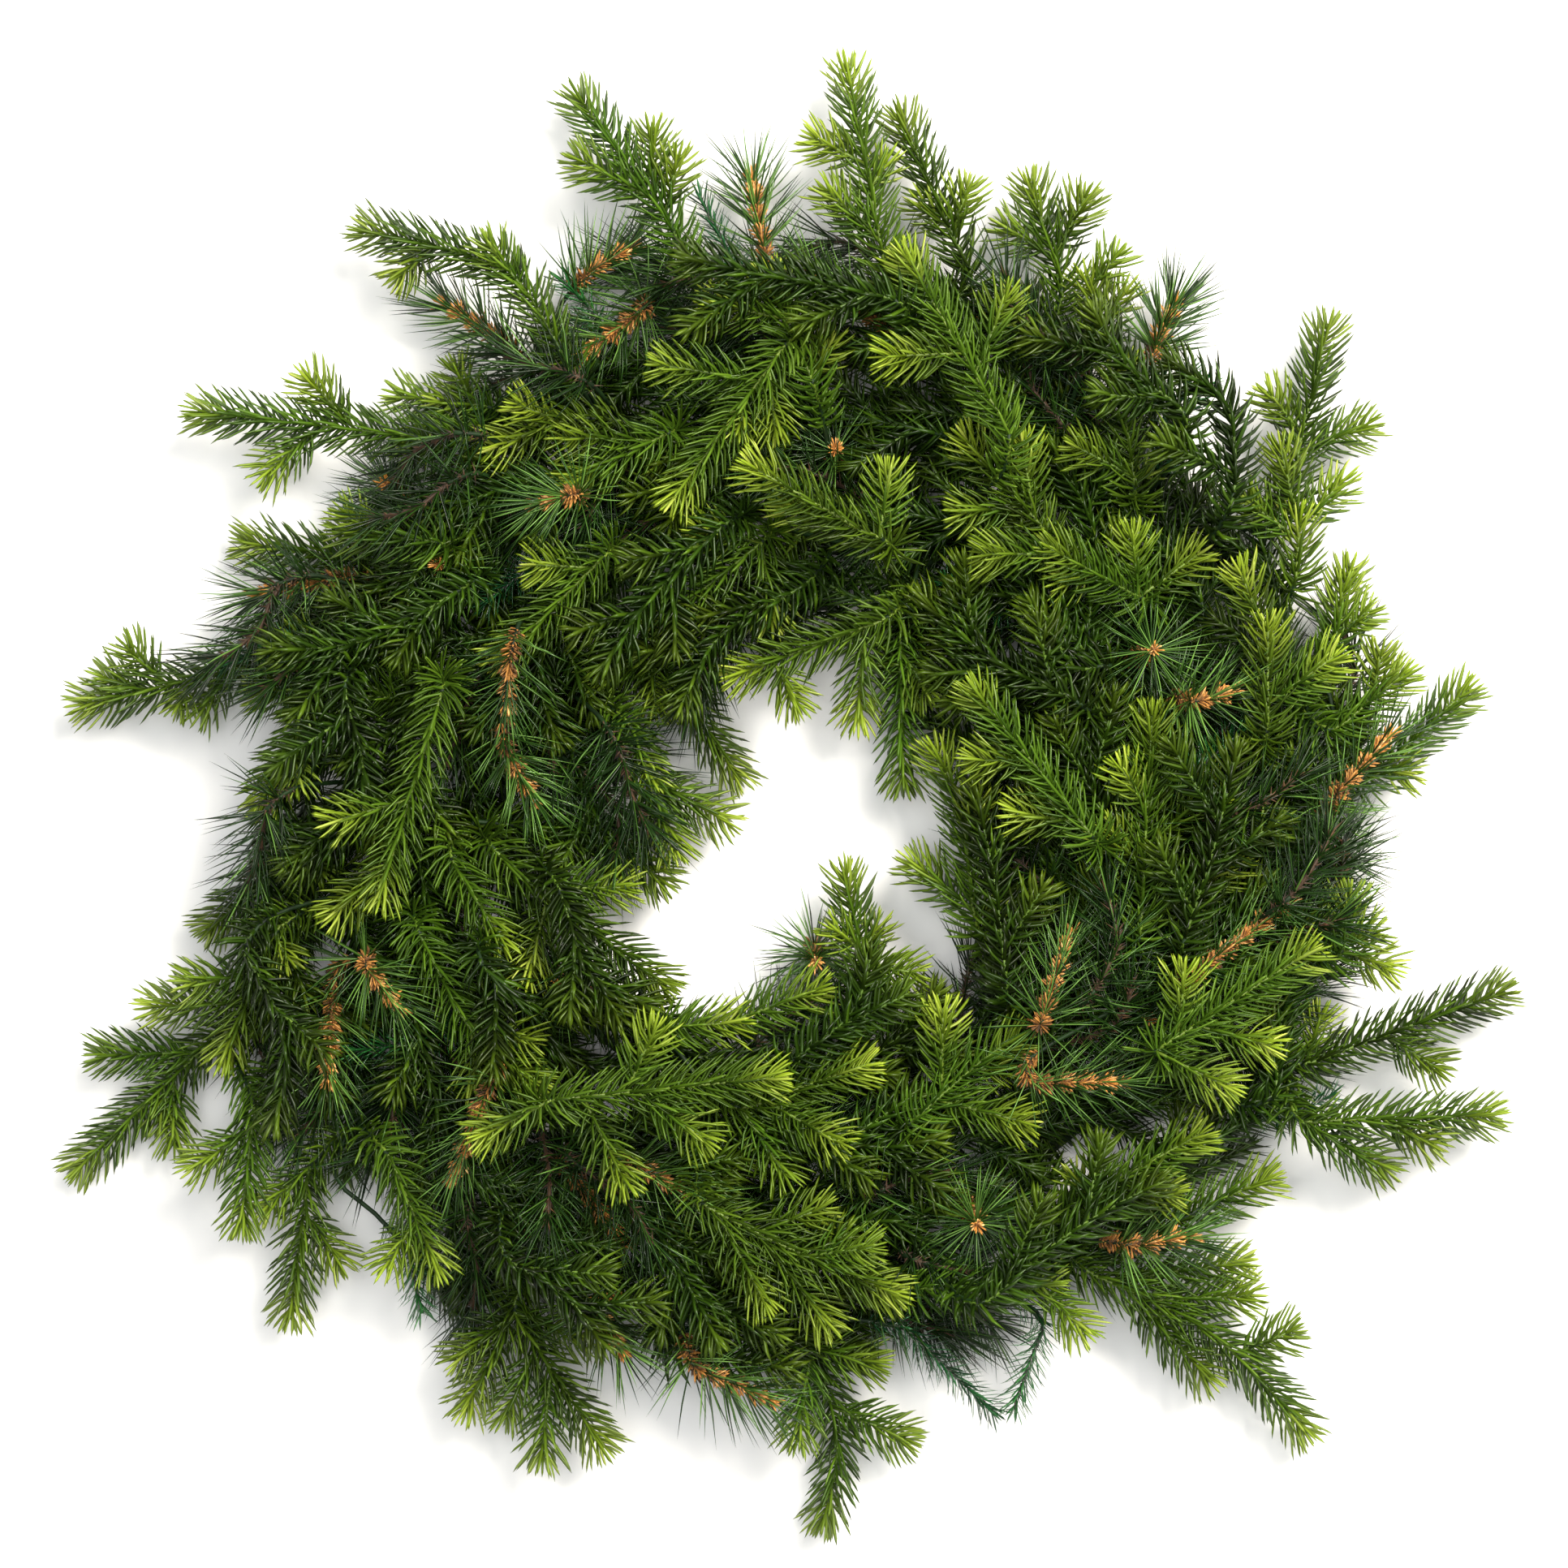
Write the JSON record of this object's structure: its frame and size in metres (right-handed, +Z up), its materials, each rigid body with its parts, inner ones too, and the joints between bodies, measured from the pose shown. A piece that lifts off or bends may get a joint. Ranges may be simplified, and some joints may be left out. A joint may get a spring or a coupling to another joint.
{
  "type": "pine wreath",
  "caption": "Round artificial wreath for a door or wall: a swirl of moulded fir sprays, long-needle pine picks and foil sprigs hooked over a double ring wire frame",
  "frame": {"origin": "middle of the wreath's outline on plan, on the surface that it lies on", "axes": "+Z up out of the front of the wreath, which lies on its back; +Y towards the top of the picture and +X to its right"},
  "size_m": [0.6, 0.6104, 0.091],
  "materials": {
    "frame": "satin",
    "fir": "satin",
    "pine": "matte"
  },
  "bodies": {
    "root": {"fir_branch_01": "fir", "fir_branch_02": "fir", "fir_branch_03": "fir", "fir_branch_04": "fir", "fir_branch_05": "fir", "fir_branch_06": "fir", "fir_branch_07": "fir", "fir_branch_08": "fir", "fir_branch_09": "fir", "fir_branch_10": "fir", "fir_branch_11": "fir", "fir_branch_12": "fir", "fir_branch_13": "fir", "fir_branch_14": "fir", "fir_branch_15": "fir", "fir_branch_16": "fir", "fir_branch_17": "fir", "fir_branch_18": "fir", "fir_branch_19": "fir", "fir_branch_20": "fir", "fir_branch_21": "fir", "fir_branch_22": "fir", "fir_branch_23": "fir", "fir_branch_24": "fir", "fir_branch_25": "fir", "fir_branch_26": "fir", "fir_branch_27": "fir", "fir_branch_28": "fir", "fir_branch_29": "fir", "fir_branch_30": "fir", "fir_branch_31": "fir", "fir_branch_32": "fir", "fir_branch_33": "fir", "fir_branch_34": "fir", "fir_branch_35": "fir", "fir_branch_36": "fir", "fir_branch_37": "fir", "fir_branch_38": "fir", "fir_branch_39": "fir", "fir_branch_40": "fir", "fir_branch_41": "fir", "fir_branch_42": "fir", "fir_branch_43": "fir", "fir_branch_44": "fir", "pine_pick_01": "pine", "pine_pick_02": "pine", "pine_pick_03": "pine", "pine_pick_04": "pine", "pine_pick_05": "pine", "pine_pick_06": "pine", "pine_pick_07": "pine", "pine_pick_08": "pine", "pine_pick_09": "pine", "pine_pick_10": "pine", "pine_pick_11": "pine", "pine_pick_12": "pine", "pine_pick_13": "pine", "pine_pick_14": "pine", "pine_pick_15": "pine", "ring_frame": "frame"}
  },
  "joints": []
}
